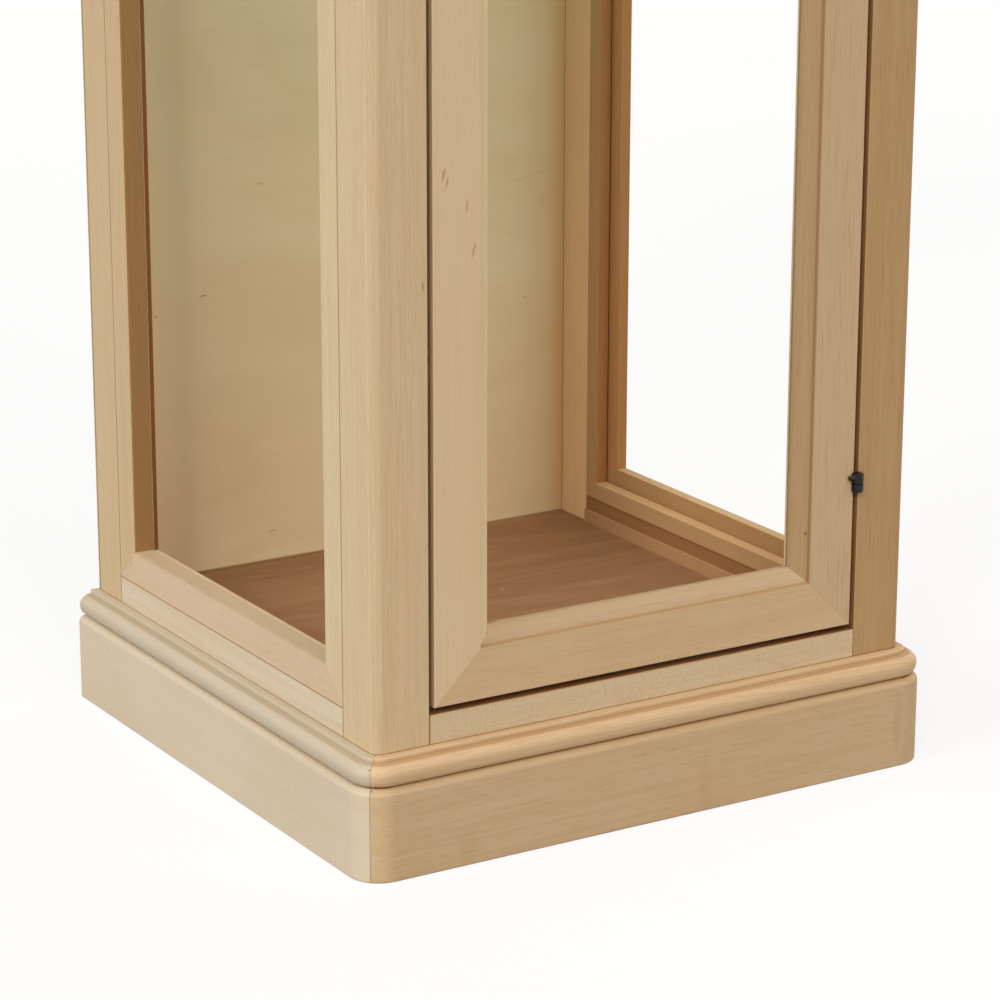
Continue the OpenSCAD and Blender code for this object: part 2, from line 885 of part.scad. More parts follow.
module knob_screw() {
    head_r = 2 * screw_r;
    head_h = 1.3 * screw_r;
    color(steel) translate([knob_x, front_y + door_t, knob_z]) {
        rotate([90, 0, 0]) cylinder(r = screw_r, h = door_t + knob_screw_in);
        rotate([-90, 0, 0]) rotate_extrude()
            polygon(concat([[0, 0], [head_r, 0]], arc_points([0, 0], head_r, head_h, 0, 90, 8)));
    }
}

// The magnetic catch sits on the inner face of the left front post, behind the door
module at_catch() {
    translate([-post_inner_x, catch_y, knob_z]) children();
}

module catch_holes() {
    at_catch() for (z = catch_screw_z)
        translate([-catch_screw_l, catch_d / 2, z]) rotate([0, 90, 0])
            cylinder(r = catch_hole_r, h = catch_screw_l + wall_end);
}

module catch() {
    corners = [[0, 0, 0], [catch_w, 0, 1], [catch_w, catch_d, 1.5], [0, catch_d, 0]];
    color("#e9e4da") at_catch() difference() {
        translate([0, 0, -catch_h / 2]) linear_extrude(catch_h) polygon(eased(corners));
        for (z = catch_screw_z)
            translate([-wall_end, catch_d / 2, z]) rotate([0, 90, 0])
                cylinder(r = catch_hole_r, h = catch_w + 2 * wall_end);
    }
}

module catch_screws() {
    r = catch_hole_r - screw_gap;
    color(steel) at_catch() for (z = catch_screw_z) translate([catch_w, catch_d / 2, z]) {
        rotate([0, -90, 0]) cylinder(r = r, h = catch_w + catch_screw_l - wall_end);
        rotate([0, 90, 0]) rotate_extrude()
            polygon(concat([[0, 0], [screw_head_r, 0]],
                arc_points([0, 0], screw_head_r, screw_head_h, 0, 90, 8)));
    }
}

// The strike plate is held on the door's back by two spikes
module at_strike() {
    translate([-door_right_x + 1, front_y + door_t, knob_z]) children();
}

module strike_holes() {
    at_strike() for (z = catch_screw_z)
        translate([strike_w / 2, wall_end, z]) rotate([90, 0, 0])
            cylinder(r = spike_r + screw_gap, h = spike_l + 2 * wall_end);
}

module strike_plate() {
    color(steel) at_strike() {
        translate([0, 0, -strike_h / 2]) cube([strike_w, strike_t, strike_h]);
        for (z = catch_screw_z)
            translate([strike_w / 2, 0, z]) rotate([90, 0, 0]) cylinder(r = spike_r, h = spike_l);
    }
}

plinth_front();
plinth_right();
plinth_back();
plinth_left();
moulding_front();
moulding_right();
moulding_left();
corner_blocks();
floor_cleats();
floor_panel();
post_front_left();
post_front_right();
post_back_left();
post_back_right();
bottom_rail_front();
bottom_rail_left();
bottom_rail_right();
top_rail_front();
top_rail_left();
top_rail_right();
top_rail_back();
back_panel();
back_screws();
side_strips();
left_frame(0);  // left_frame_bottom
left_frame(1);  // left_frame_back
left_frame(2);  // left_frame_top
left_frame(3);  // left_frame_front
right_frame(0);  // right_frame_bottom
right_frame(1);  // right_frame_front
right_frame(2);  // right_frame_top
right_frame(3);  // right_frame_back
left_pane();
right_pane();
left_beads();
right_beads();
cornice_front();
cornice_right();
cornice_back();
cornice_left();
ceiling_panel();
top_board();
shelf(0);  // shelf_lower
shelf(1);  // shelf_upper
shelf_pins();
door_rail_bottom();
door_stile_left();
door_rail_top();
door_stile_right();
door_pane();
door_beads();
hinge_door_halves();
hinge_post_halves();
hinge_pins();
knob();
knob_screw();
catch();
catch_screws();
strike_plate();
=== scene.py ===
import json
import math

import bpy
from mathutils import Euler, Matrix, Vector

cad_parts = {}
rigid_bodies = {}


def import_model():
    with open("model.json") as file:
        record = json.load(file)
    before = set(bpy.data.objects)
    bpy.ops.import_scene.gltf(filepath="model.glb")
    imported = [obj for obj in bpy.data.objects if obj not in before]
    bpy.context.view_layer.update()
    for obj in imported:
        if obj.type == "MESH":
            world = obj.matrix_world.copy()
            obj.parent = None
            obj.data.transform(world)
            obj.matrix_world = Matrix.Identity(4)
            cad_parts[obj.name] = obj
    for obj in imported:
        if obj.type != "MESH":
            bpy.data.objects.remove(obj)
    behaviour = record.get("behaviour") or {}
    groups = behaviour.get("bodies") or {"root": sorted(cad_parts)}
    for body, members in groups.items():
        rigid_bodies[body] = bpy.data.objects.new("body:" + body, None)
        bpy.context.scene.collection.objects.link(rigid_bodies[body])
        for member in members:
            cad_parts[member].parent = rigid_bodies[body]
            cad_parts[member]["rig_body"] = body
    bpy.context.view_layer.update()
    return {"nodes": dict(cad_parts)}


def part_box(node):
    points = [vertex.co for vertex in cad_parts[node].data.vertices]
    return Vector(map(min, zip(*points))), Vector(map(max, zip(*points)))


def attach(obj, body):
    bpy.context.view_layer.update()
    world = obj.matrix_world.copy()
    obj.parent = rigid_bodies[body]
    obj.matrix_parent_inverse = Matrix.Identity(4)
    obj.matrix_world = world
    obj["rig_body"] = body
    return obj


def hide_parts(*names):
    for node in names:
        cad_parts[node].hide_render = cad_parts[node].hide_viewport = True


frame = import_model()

nodes = frame["nodes"]
mm = 0.001

print("packed frame loaded:", len(nodes), "nodes")


# Colours and nodes

def linear(hexColour):
    parts = [int(hexColour[i:i + 2], 16) / 255 for i in (1, 3, 5)]
    return [p / 12.92 if p <= 0.04045 else ((p + 0.055) / 1.055) ** 2.4 for p in parts] + [1]


def shaded(colour, factors):
    return [c * f for c, f in zip(colour, factors)] + [1]


def addNode(tree, kind, inputs=None, **settings):
    node = tree.nodes.new(kind)
    node.location = (200 * len(tree.nodes), 0)
    for name, value in settings.items():
        setattr(node, name, value)
    for name, value in (inputs or {}).items():
        if isinstance(value, bpy.types.NodeSocket):
            tree.links.new(value, node.inputs[name])
        else:
            node.inputs[name].default_value = value
    return node


# Sockets of a Mix node that mixes colours
mixFactor, mixA, mixB, mixResult = 0, 6, 7, 2

pureWhite = (1, 1, 1, 1)


def newMaterial(name):
    material = bpy.data.materials.new(name)
    material.use_nodes = True
    material.node_tree.nodes.clear()
    return material


def closeMaterial(material, shader):
    addNode(material.node_tree, "ShaderNodeOutputMaterial", {"Surface": shader})
    return material


# Raw beech, planed and sanded: pale pinkish cream, a close straight grain with faint growth bands,
# fine brown pores that run along it, short darker ray flecks, and no shine.
# The strengths say how far each figure darkens the board, the sizes are in mm.
beechLook = {
    "bands": 0.22,       # growth bands along the grain
    "bandAcross": 14,
    "bandAlong": 520,
    "bandShade": (0.90, 0.83, 0.73),
    "rings": 0.0,        # long lens shapes of a flat-sawn board, as contour lines of a stretched field
    "ringCount": 9,
    "ringAcross": 60,
    "ringAlong": 420,
    "ringShade": (0.84, 0.74, 0.60),
    "lines": 0.36,       # fine grain lines
    "lineAcross": 1.6,
    "lineAlong": 90,
    "lineShade": (0.88, 0.81, 0.71),
    "pores": 0.32,       # dark pores, drawn wider than the real 0.1 mm so that they show
    "poreAcross": 0.9,
    "poreAlong": 14,
    "poreShade": (0.70, 0.57, 0.45),
    "flecks": 0.12,      # ray flecks across the grain
    "fleckAcross": 5,
    "fleckAlong": 1.3,
    "fleckShade": (0.80, 0.68, 0.54),
    "clouds": 0.12,      # soft patches of a warmer tone
    "cloudSize": 110,
    "cloudShade": (0.93, 0.86, 0.78),
    "spotShade": (0.62, 0.44, 0.28),
    "roughness": 0.62,   # between the grain lines; the two below are taken off and added along them
    "smoother": 0.05,
    "rougher": 0.06,
    "shine": 0.35,
    "bump": 0.12,
    "grainDepth": 0.3,   # mm
}

# Where each field starts to count as its figure, and where it counts in full
figureRange = {
    "clouds": (0.35, 0.65),
    "bands": (0.35, 0.65),
    "rings": (0.22, 0.5),
    "lines": (0.42, 0.68),
    "pores": (0.58, 0.74),
    "flecks": (0.55, 0.75),
    "spots": (0.0, 0.8),
    "rough": (0.3, 0.7),
}
stripeCore = 0.4         # the share of a stripe's half width that has its full strength


def beech(name, along, tone, shift, spots=(), stripes=(), **changes):
    look = {**beechLook, **changes}
    material = newMaterial(name)
    tree = material.node_tree
    base = linear(tone)
    place = addNode(tree, "ShaderNodeTexCoord").outputs["Object"]

    # A noise stretched along the grain: sizes across and along it, in mm
    def pattern(across, length, detail, distortion=0.0):
        sizes = {axis: across for axis in "xyz"}
        sizes[along] = length
        spread = addNode(tree, "ShaderNodeMapping", {
            "Vector": place, "Location": shift, "Scale": [1 / (sizes[axis] * mm) for axis in "xyz"]})
        return addNode(tree, "ShaderNodeTexNoise", {
            "Vector": spread.outputs[0], "Scale": 1.0, "Detail": detail,
            "Distortion": distortion}).outputs[0]

    def ranged(value, low, high, first, last):
        return addNode(tree, "ShaderNodeMapRange", {
            "Value": value, "From Min": low, "From Max": high, "To Min": first, "To Max": last},
            interpolation_type="SMOOTHSTEP").outputs[0]

    def tinted(colour, factor, shade):
        return addNode(tree, "ShaderNodeMix", {
            mixFactor: factor, mixA: colour, mixB: shaded(base, shade)},
            data_type="RGBA").outputs[mixResult]

    def drawn(colour, figure, field, strength, shade):
        return tinted(colour, ranged(field, *figureRange[figure], 0.0, strength), shade)

    colour = base
    if look["clouds"]:
        clouds = pattern(look["cloudSize"], look["cloudSize"] * 2, 2.0)
        colour = drawn(colour, "clouds", clouds, look["clouds"], look["cloudShade"])
    bands = pattern(look["bandAcross"], look["bandAlong"], 2.0, 0.6)
    colour = drawn(colour, "bands", bands, look["bands"], look["bandShade"])
    if look["rings"]:
        field = pattern(look["ringAcross"], look["ringAlong"], 1.0, 0.5)
        steps = addNode(tree, "ShaderNodeMath", {0: field, 1: look["ringCount"]}, operation="MULTIPLY")
        contours = addNode(tree, "ShaderNodeMath", {0: steps.outputs[0], 1: 0.5}, operation="PINGPONG")
        colour = drawn(colour, "rings", contours.outputs[0], look["rings"], look["ringShade"])
    lines = pattern(look["lineAcross"], look["lineAlong"], 3.0)
    colour = drawn(colour, "lines", lines, look["lines"], look["lineShade"])
    pores = pattern(look["poreAcross"], look["poreAlong"], 1.0)
    colour = drawn(colour, "pores", pores, look["pores"], look["poreShade"])
    flecks = pattern(look["fleckAcross"], look["fleckAlong"], 2.0)
    colour = drawn(colour, "flecks", flecks, look["flecks"], look["fleckShade"])

    # Stripes are drawn bands: dark lines along steps, grooves and seams, and the broad fall of light on
    # the back panel. "way" is the direction across the stripe, "at" its middle and "wide" its half
    # width in mm. They copy how the photo is lit, and aren't a property of the wood.
    for stripe in stripes:
        across = addNode(tree, "ShaderNodeVectorMath", {
            0: place, 1: stripe["way"]}, operation="DOT_PRODUCT")
        away = addNode(tree, "ShaderNodeMath", {
            0: across.outputs["Value"], 1: stripe["at"] * mm}, operation="SUBTRACT")
        away = addNode(tree, "ShaderNodeMath", {0: away.outputs[0]}, operation="ABSOLUTE")
        wide = stripe["wide"] * mm
        colour = tinted(colour, ranged(away.outputs[0], wide * stripeCore, wide, stripe["strength"], 0.0),
                        stripe["shade"])

    # Spots are the marks of this very board: flecks, pin knots and a nail hole, at their own places
    for spot in spots:
        turn = [math.radians(a) for a in spot.get("turn", (0, 0, 0))]
        near = addNode(tree, "ShaderNodeMapping", {
            "Vector": place, "Location": [c * mm for c in spot["at"]], "Rotation": turn,
            "Scale": [s * mm for s in spot["size"]]}, vector_type="TEXTURE")
        ball = addNode(tree, "ShaderNodeTexGradient", {
            "Vector": near.outputs[0]}, gradient_type="SPHERICAL")
        colour = drawn(colour, "spots", ball.outputs["Fac"], spot["strength"],
                       spot.get("shade", look["spotShade"]))

    low, high = figureRange["rough"]
    rough = addNode(tree, "ShaderNodeMapRange", {
        "Value": lines, "From Min": low, "From Max": high,
        "To Min": look["roughness"] - look["smoother"], "To Max": look["roughness"] + look["rougher"]})
    bump = addNode(tree, "ShaderNodeBump", {
        "Strength": look["bump"], "Distance": look["grainDepth"] * mm, "Height": lines})
    shader = addNode(tree, "ShaderNodeBsdfPrincipled", {
        "Base Color": colour, "Roughness": rough.outputs[0], "Normal": bump.outputs[0],
        "Specular IOR Level": look["shine"]})
    return closeMaterial(material, shader.outputs[0])


# Places of the shapes that the stripes follow, in mm
grooveZ = 87.1           # between the small fillet and the round of the base moulding
quirkZ = 70.6            # under that round
corniceMirror = 1742 + 90.5     # the cornice repeats the base moulding upside down: z + mirrored z
ovoloIn = 39.0           # from a door member's outer edge to the step of its moulded edge
doorHalf, doorLow, doorHigh = 183.1, 117.4, 1692.6
alongX, alongY, alongZ = (1, 0, 0), (0, 1, 0), (0, 0, 1)
half = math.sqrt(0.5)

# Painted shade: dark lines in the hollow between the fillet and the round of the base moulding, under that
# round, on the plinth's top arris beneath the moulding's overhang, the same on the cornice, and along the
# step of each door member's moulded edge
grooveShade = {"way": alongZ, "at": grooveZ, "wide": 1.1, "shade": (0.66, 0.52, 0.37), "strength": 0.75}
quirkShade = {"way": alongZ, "at": quirkZ, "wide": 1.1, "shade": (0.42, 0.27, 0.16), "strength": 0.9}
plinthTopShade = {"way": alongZ, "at": 69.5, "wide": 2.4, "shade": (0.88, 0.78, 0.66), "strength": 0.5}
corniceGrooveShade = {**grooveShade, "at": corniceMirror - grooveZ}
corniceQuirkShade = {**quirkShade, "at": corniceMirror - quirkZ}
step = {"wide": 1.1, "shade": (0.62, 0.48, 0.33), "strength": 0.75}
mitreAt = 14.14          # from the origin to the mitre planes of the base
mitreLeft = {"way": (half, -half, 0), "at": -mitreAt, "wide": 0.8, "shade": (0.50, 0.49, 0.42),
             "strength": 0.85}
mitreRight = {**mitreLeft, "way": (half, half, 0), "at": mitreAt}

# Painted shade along the seams between the carcass boards and at the feet of the posts and rails,
# orange-brown
seamShade = {"wide": 0.95, "shade": (0.62, 0.45, 0.30), "strength": 0.95}
sideSeams = [{**seamShade, "way": alongY, "at": at} for at in (-167.5, 197.5)]
levelSeams = [{**seamShade, "way": alongZ, "at": at} for at in (113.0, 1697.0)]
doorwaySeams = [{**seamShade, "way": alongX, "at": at, "wide": 1.2, "shade": (0.48, 0.33, 0.21)}
                for at in (-187.5, 187.5)]
footSeamShade = {**seamShade, "way": alongZ, "at": 90.4, "wide": 1.3, "shade": (0.52, 0.37, 0.24)}
seamsOf = {
    "post_front_": sideSeams + [footSeamShade],
    "post_back_": sideSeams + [footSeamShade, {**seamShade, "way": alongY, "at": 237.3, "shade": (0.40, 0.26, 0.14)}],
    "bottom_rail_": sideSeams + levelSeams + doorwaySeams + [footSeamShade],
    "top_rail_": sideSeams + levelSeams + doorwaySeams,
    "left_frame_": sideSeams + levelSeams,
    "right_frame_": sideSeams + levelSeams,
}

# Faces of a board with a tone of their own, which copy how the photo is lit and aren't other wood.
# "within" gives ranges of the face's centre in mm, "facing" the axis that its normal points along
# most, and "round" takes those that face between axes.
sightY, sightZ = {"facing": "y"}, {"facing": "z"}
rightInside = {"within": {"x": (222.3, 222.7)}}
gapShadeTone = "#a47a4f"      # painted shade for the faces inside the gaps round the door

# Boards of beech: the way the grain runs, the board's own tone and its figure
boards = {
    "plinth_front": {"along": "x", "tone": "#ccb38f", "rings": 0.2, "ringAcross": 30, "ringAlong": 600,
        "lines": 0.4, "lineAcross": 1.6, "lineAlong": 55, "stripes": [plinthTopShade, mitreLeft, mitreRight],
        "clouds": 0.3, "spots": [
            {"at": (40, -230, 20), "size": (9, 20, 32), "strength": 0.14},
            {"at": (-165, -230, 14), "size": (14, 20, 20), "strength": 0.14},
            {"at": (219, -230, 38), "size": (6, 20, 34), "strength": 0.22}]},
    "plinth_right": {"along": "y", "tone": "#cfb591", "stripes": [plinthTopShade, mitreRight]},
    "plinth_back": {"along": "x", "tone": "#cfb591"},
    "plinth_left": {"along": "y", "tone": "#d5c7ad", "lines": 0.12, "pores": 0.06, "bands": 0.2,
        "flecks": 0.05, "clouds": 0.4, "stripes": [{**plinthTopShade, "strength": 0.4}], "spots": [
            {"at": (-250, 189.2, 55.9), "size": (3, 2.0, 1.0), "strength": 0.8},
            {"at": (-250, -114.6, 38.3), "size": (3, 2.2, 1.0), "strength": 0.5},
            {"at": (-250, -108, 35), "size": (3, 1.6, 0.8), "strength": 0.5}]},
    "moulding_front": {"along": "x", "tone": "#d7bb96", "rings": 0.4, "ringAcross": 14, "ringAlong": 260,
        "stripes": [grooveShade, quirkShade, mitreLeft, mitreRight]},
    "moulding_right": {"along": "y", "tone": "#d9bd97", "stripes": [grooveShade, quirkShade]},
    "moulding_left": {"along": "y", "tone": "#c7baa2", "lines": 0.12, "pores": 0.06,
        "stripes": [{**grooveShade, "strength": 0.45}, {**quirkShade, "shade": (0.66, 0.50, 0.34)}]},
    # Painted shade on the posts: their faces in the door's gaps, and the round arris of the front left post
    "post_front_left": {"along": "z", "tone": "#d5bf9a", "lines": 0.45, "lineAcross": 1.4, "lineAlong": 60,
        "faces": [{"within": {"x": (-187.6, -187.4)}, "tone": gapShadeTone}, {"round": True, "tone": "#cdb793"}],
        "spots": [{"at": (-191.4, -212.5, 425.2), "size": (1.3, 3, 5), "strength": 0.8}]},
    # The right front post's tone is darker than the left one's: partly a darker board, partly painted shade
    # for light that falls off towards the right
    "post_front_right": {"along": "z", "tone": "#ba9a6e", "pores": 0.5, "poreAlong": 40, "bands": 0.4,
        "lines": 0.4, "faces": [{"within": {"x": (187.4, 187.6)}, "tone": "#a88458"}]},
    "post_back_left": {"along": "z", "tone": "#cdb58d"},
    "post_back_right": {"along": "z", "tone": "#dfbb8b"},
    # Painted shade on the rails: their faces in the door's gaps, and the inner face of the bottom right
    # rail
    "bottom_rail_front": {"along": "x", "tone": "#d6c4a5", "flecks": 0.8, "fleckAcross": 5,
        "fleckAlong": 1.1, "lines": 0.45, "clouds": 0.3,
        "faces": [{"within": {"z": (112.9, 113.1)}, "tone": gapShadeTone}]},
    "bottom_rail_left": {"along": "y", "tone": "#daccb3", "bands": 0.6, "bandAcross": 7, "bandAlong": 260,
        "bandShade": (0.92, 0.80, 0.66)},
    "bottom_rail_right": {"along": "y", "tone": "#cfb38e",
        "faces": [{"within": {"x": (200, 210)}, "tone": "#8d623a"}]},
    "top_rail_front": {"along": "x", "tone": "#d2ba93",
        "faces": [{"within": {"z": (1696.9, 1697.1)}, "tone": gapShadeTone}]},
    "top_rail_left": {"along": "y", "tone": "#d3c0a0"},
    "top_rail_right": {"along": "y", "tone": "#cfb38e"},
    "top_rail_back": {"along": "x", "tone": "#d6bd95"},
    # Painted shade on the side frames: their sight edges, round arrises and inner faces are darker than the
    # boards
    "left_frame_bottom": {"along": "y", "tone": "#d5bd9e", "clouds": 0.35, "lines": 0.15,
        "faces": [{**sightZ, "tone": "#cdb798"}, {"round": True, "tone": "#c1a88a"}], "spots": [
            {"at": (-232.5, 178, 128.9), "size": (3, 1.6, 1.6), "strength": 0.9},
            {"at": (-232.5, 48.5, 142.9), "size": (3, 3, 1.4), "strength": 0.6}]},
    "left_frame_back": {"along": "z", "tone": "#ccb38b", "faces": [{**sightY, "tone": "#a78050"}]},
    "left_frame_top": {"along": "y", "tone": "#cfb999", "faces": [{**sightZ, "tone": "#bb8f58"}]},
    "left_frame_front": {"along": "z", "tone": "#d8c49f", "faces": [{**sightY, "tone": "#a78050"}],
        "spots": [{"at": (-232.5, -172.3, 425.7), "size": (3, 1.5, 4), "strength": 0.8}]},
    "right_frame_bottom": {"along": "y", "tone": "#d9b181", "faces": [
        {**sightZ, "tone": "#cfaf7f"}, {**rightInside, "tone": "#a78153"}]},
    "right_frame_front": {"along": "z", "tone": "#cfb38e", "faces": [{**sightY, "tone": "#aa8050"}]},
    "right_frame_top": {"along": "y", "tone": "#cfb38e", "faces": [{**sightZ, "tone": "#aa8050"}]},
    "right_frame_back": {"along": "z", "tone": "#c59a6a", "faces": [
        {**sightY, "tone": "#c39155"}, {**rightInside, "tone": "#b78551"}]},
    "cornice_front": {"along": "x", "tone": "#d3b893", "rings": 0.3, "ringAcross": 20, "ringAlong": 400,
        "stripes": [corniceGrooveShade, corniceQuirkShade, mitreLeft, mitreRight]},
    "cornice_right": {"along": "y", "tone": "#ceb28d", "stripes": [corniceGrooveShade, corniceQuirkShade]},
    "cornice_back": {"along": "x", "tone": "#ceb28d"},
    "cornice_left": {"along": "y", "tone": "#cfbfa3", "stripes": [corniceGrooveShade, corniceQuirkShade]},
    "top_board": {"along": "x", "tone": "#d6bd95", "rings": 0.3},
    # Painted shade on the door's faces in its gaps and on the moulded edges of its bottom rail and right
    # stile, painted light on the moulded edge of its left stile
    "door_rail_bottom": {"along": "x", "tone": "#d1b791", "rings": 0.2, "ringAcross": 24, "ringAlong": 500,
        "lines": 0.18, "stripes": [{**step, "way": alongZ, "at": doorLow + ovoloIn}],
        "faces": [{"within": {"z": (doorLow - 0.1, doorLow + 0.1)}, "tone": gapShadeTone},
                  {"within": {"z": (157.5, 170), "y": (-212, -199)}, "tone": "#c6ae8c"}]},
    "door_stile_left": {"along": "z", "tone": "#dcc6a2", "lines": 0.15, "pores": 0.12, "clouds": 0.35,
        "stripes": [{**step, "way": alongX, "at": ovoloIn - doorHalf}],
        "faces": [{"within": {"x": (-144.8, -125), "y": (-212, -199)}, "tone": "#ebd8b0"}], "spots": [
            {"at": (-174.7, -212.5, 500.4), "size": (1.4, 3, 7), "turn": (0, 13, 0), "strength": 0.9},
            {"at": (-171.9, -212.5, 495.3), "size": (1.0, 3, 6), "turn": (0, 13, 0), "strength": 0.8},
            {"at": (-156.1, -212.5, 477.0), "size": (1.2, 3, 6), "turn": (0, 10, 0), "strength": 0.7},
            {"at": (-150.5, -212.5, 445.7), "size": (1.0, 3, 8), "turn": (0, 12, 0), "strength": 0.9}]},
    "door_rail_top": {"along": "x", "tone": "#d2b890",
        "stripes": [{**step, "way": alongZ, "at": doorHigh - ovoloIn}],
        "faces": [{"within": {"z": (doorHigh - 0.1, doorHigh + 0.1)}, "tone": gapShadeTone}]},
    # The right stile's tone is darker than the left one's: partly a darker board, partly painted shade for
    # light that falls off towards the right
    "door_stile_right": {"along": "z", "tone": "#cbb28e", "pores": 0.45, "poreAlong": 36,
        "stripes": [{**step, "way": alongX, "at": doorHalf - ovoloIn}],
        "faces": [{"within": {"x": (125, 144.8), "y": (-212, -199)}, "tone": "#b3966f"}],
        "spots": [{"at": (141.7, -210.5, 195.1), "size": (1.8, 4, 1.8), "strength": 1.0,
                   "shade": (0.16, 0.09, 0.05)}]},
}

# Bars that share a node: each bar's grain runs along its longest side, and a face's tone is the one
# of the axis that it faces, which also copies how the photo is lit
barSets = {
    "left_beads": {"slot": "beech", "tones": {"x": "#f0dcbc", "y": "#8d5525", "z": "#e0c7a2"}},
    "right_beads": {"slot": "beech", "tones": {"x": "#af8b5f", "y": "#be8953", "z": "#deb584"},
                    # with a line of painted shade along the foot of the right beads
                    "stripes": [{**seamShade, "way": alongZ, "at": 113.4, "wide": 1.3}]},
    "door_beads": {"slot": "beech", "tones": {"x": "#ecd3ab", "y": "#d2b890", "z": "#d2b890"}},
    "side_strips": {"slot": "beech", "tones": {"x": "#a88158", "y": "#b6966e", "z": "#b08a5e"}},
    "corner_blocks": {"slot": "hidden_wood", "tones": {"x": "#cbb088", "y": "#cbb088", "z": "#cbb088"}},
    "floor_cleats": {"slot": "hidden_wood", "tones": {"x": "#cbb088", "y": "#cbb088", "z": "#cbb088"}},
}


def selectOnly(piece):
    bpy.ops.object.select_all(action="DESELECT")
    piece.select_set(True)
    bpy.context.view_layer.objects.active = piece


# A finished copy of a node: merged, its flats joined, its long arrises eased and smooth
finishing = {
    "merge": 0.002,      # mm
    "flat": 0.5,         # degrees
    "sharp": 30,         # degrees
    "arrisSteps": 2,
    "shortest": 3.0,     # mm, the shortest edge that gets an arris
    "mitre": 0.70,       # a face lies on a mitre where its normal's middle part is over this
    "level": 0.2,        # and it looks along one axis where that part is under this
}


def finishedCopy(name, arris=0.22, joined=True):
    source = nodes[name]
    piece = bpy.data.objects.new(name + "_finished", source.data.copy())
    bpy.context.scene.collection.objects.link(piece)
    piece.data.materials.clear()
    selectOnly(piece)
    bpy.ops.object.mode_set(mode="EDIT")
    bpy.ops.mesh.select_all(action="SELECT")
    bpy.ops.mesh.remove_doubles(threshold=finishing["merge"] * mm)
    if joined:
        bpy.ops.mesh.dissolve_limited(angle_limit=math.radians(finishing["flat"]))
    bpy.ops.mesh.select_all(action="DESELECT")
    bpy.ops.mesh.select_mode(type="EDGE")
    bpy.ops.mesh.edges_select_sharp(sharpness=math.radians(finishing["sharp"]))
    bpy.ops.object.mode_set(mode="OBJECT")
    mesh = piece.data

    # Closed mitres stay sharp, so that only the grain shows them
    mitred = set()
    for face in mesh.polygons:
        parts = sorted(abs(c) for c in face.normal)
        if parts[1] > finishing["mitre"]:
            mitred.update(face.edge_keys)
    for edge in mesh.edges:
        a, b = (mesh.vertices[i].co for i in edge.vertices)
        if edge.select and ((a - b).length < finishing["shortest"] * mm or edge.key in mitred):
            edge.select = False
    for vertex in mesh.vertices:
        vertex.select = False
    for face in mesh.polygons:
        face.select = False
    if arris:
        bpy.ops.object.mode_set(mode="EDIT")
        bpy.ops.mesh.bevel(offset=arris * mm, segments=finishing["arrisSteps"],
                           affect="EDGES", clamp_overlap=True)
        bpy.ops.object.mode_set(mode="OBJECT")
    bpy.ops.object.shade_smooth_by_angle(angle=math.radians(finishing["sharp"]))
    bpy.ops.object.modifier_add(type="WEIGHTED_NORMAL")
    piece.modifiers[-1].keep_sharp = True
    bpy.ops.object.modifier_apply(modifier=piece.modifiers[-1].name)
    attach(piece, source["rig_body"])
    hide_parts(name)
    return piece


def facing(face):
    return "xyz"[max(range(3), key=lambda k: abs(face.normal[k]))]


def fits(face, rule):
    if rule.get("facing", facing(face)) != facing(face):
        return False
    if "round" in rule and sorted(abs(c) for c in face.normal)[1] < finishing["level"]:
        return False
    return all(low * mm <= face.center["xyz".index(axis)] <= high * mm
               for axis, (low, high) in rule.get("within", {}).items())


# Each board is cut from another place of the figure
boardShift, barShift, panelShift = (0.37, 0.61, 0.23), (0.53, 0.29), (3.1, 4.2, 5.3)

for number, (name, board) in enumerate(boards.items()):
    piece = finishedCopy(name)
    mesh = piece.data
    figure = {key: value for key, value in board.items() if key != "faces"}
    for start, stripes in seamsOf.items():
        if name.startswith(start):
            figure["stripes"] = [*board.get("stripes", []), *stripes]
    shift = [part * number for part in boardShift]
    mesh.materials.append(beech("beech " + name, shift=shift, **figure))
    # Each face rule gets a copy of the board's material in the rule's tone: the painted light or shade of
    # those faces
    for rule in board.get("faces", []):
        mesh.materials.append(beech(f"beech {name} edge", shift=shift, **{**figure, "tone": rule["tone"]}))
        for face in mesh.polygons:
            if fits(face, rule):
                face.material_index = len(mesh.materials) - 1
print("boards finished:", len(boards))


# Separate bars in one mesh, by walking over its edges
def islandsOf(mesh):
    group = list(range(len(mesh.vertices)))

    def root(i):
        while group[i] != i:
            group[i] = group[group[i]]
            i = group[i]
        return i

    for edge in mesh.edges:
        a, b = root(edge.vertices[0]), root(edge.vertices[1])
        group[a] = b
    found = {}
    for face in mesh.polygons:
        found.setdefault(root(face.vertices[0]), []).append(face)
    return list(found.values())


def boxOf(mesh, faces):
    points = [mesh.vertices[i].co for face in faces for i in face.vertices]
    return (Vector([min(p[k] for p in points) for k in range(3)]),
            Vector([max(p[k] for p in points) for k in range(3)]))


for number, (name, bars) in enumerate(barSets.items()):
    piece = finishedCopy(name)
    mesh = piece.data
    kinds = [(along, tone) for along in "xyz" for tone in sorted(set(bars["tones"].values()))]
    shift = [*(part * number for part in barShift), 0.7]
    for along, tone in kinds:
        mesh.materials.append(beech(f"beech {name} {along}", along, tone, shift,
                                    stripes=bars.get("stripes", ())))
    for faces in islandsOf(mesh):
        low, high = boxOf(mesh, faces)
        sides = list(high - low)
        for face in faces:
            face.material_index = kinds.index(("xyz"[sides.index(max(sides))], bars["tones"][facing(face)]))
print("bars finished:", len(barSets))


# Other finishes

gritLook = {"size": 0.4, "shade": (0.85, 0.85, 0.85), "spread": 0.08}


